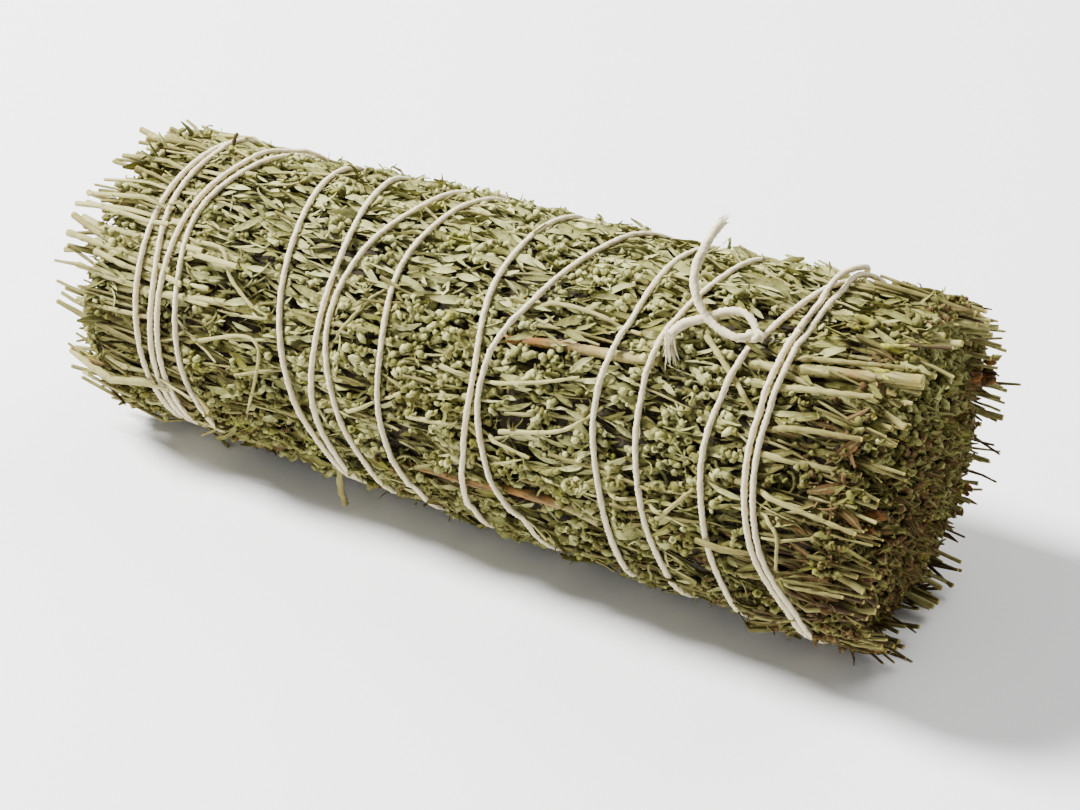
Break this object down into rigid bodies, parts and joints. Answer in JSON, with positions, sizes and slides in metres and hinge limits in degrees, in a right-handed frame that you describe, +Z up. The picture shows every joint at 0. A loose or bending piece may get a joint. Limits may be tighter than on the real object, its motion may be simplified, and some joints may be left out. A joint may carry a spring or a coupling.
{
  "type": "tied sage bunch",
  "caption": "Bundle of dried leafy herb stems laid side by side into a firm roll, wound with thin cotton string that ends in a knot with two loose tails, lying on its side.",
  "frame": {"origin": "centre of the footprint box, on the surface that the roll lies on", "axes": "+X along the roll towards its thicker cut end, +Z up, -Y the side whose top carries the knot"},
  "size_m": [0.1096, 0.0416, 0.047],
  "materials": {
    "dried_sage": "matte, felted dry leaves, grey-green with pale and brown flecks",
    "cotton_string": "matte, twisted cotton",
    "pale_stem": "matte, dry woody stalk",
    "brown_bark": "matte, dry bark"
  },
  "bodies": {
    "root": {"binding_string": "cotton_string", "brown_twig_lower": "brown_bark", "brown_twig_upper": "brown_bark", "heart_stem": "dried_sage", "inner_stem_01": "dried_sage", "inner_stem_02": "dried_sage", "inner_stem_03": "dried_sage", "inner_stem_04": "dried_sage", "inner_stem_05": "dried_sage", "inner_stem_06": "dried_sage", "leafy_stem_01": "dried_sage", "leafy_stem_02": "dried_sage", "leafy_stem_03": "dried_sage", "leafy_stem_04": "dried_sage", "leafy_stem_05": "dried_sage", "leafy_stem_06": "dried_sage", "leafy_stem_07": "dried_sage", "leafy_stem_08": "dried_sage", "leafy_stem_09": "dried_sage", "leafy_stem_10": "dried_sage", "leafy_stem_11": "dried_sage", "leafy_stem_12": "dried_sage", "leafy_stem_13": "dried_sage", "leafy_stem_14": "dried_sage", "leafy_stem_15": "dried_sage", "leafy_stem_16": "dried_sage", "pale_cut_stem": "pale_stem"}
  },
  "joints": []
}
